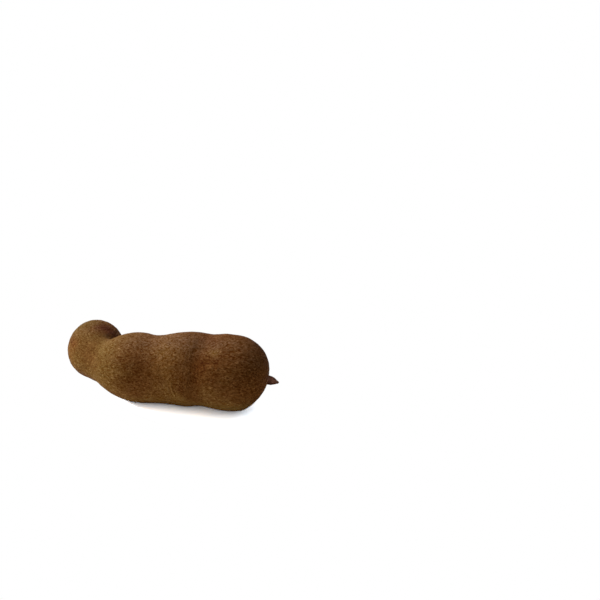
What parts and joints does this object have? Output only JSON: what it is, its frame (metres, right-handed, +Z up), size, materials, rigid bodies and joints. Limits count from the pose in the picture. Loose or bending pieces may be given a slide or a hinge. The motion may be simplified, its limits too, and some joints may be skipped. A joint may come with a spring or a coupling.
{
  "type": "tamarind pod",
  "caption": "Whole tamarind pod lying on its side: a curved, lobed husk swollen over its seeds, with a broken stub of stalk at one end.",
  "frame": {"origin": "bottom centre of the bounding box, on the surface that the pod lies on", "axes": "+X along the chord of the pod towards the stalk, its longest extent; -Y towards the outer, convex side; +Z up, its shortest extent"},
  "size_m": [0.0776, 0.0352, 0.0242],
  "materials": {
    "husk": "matt, dusty, finely granular brittle husk, cinnamon brown with darker lobes and paler necks",
    "stalk_wood": "matt reddish brown, fibrous where it broke off"
  },
  "bodies": {
    "root": {"pod": "husk", "stalk": "stalk_wood"}
  },
  "joints": []
}
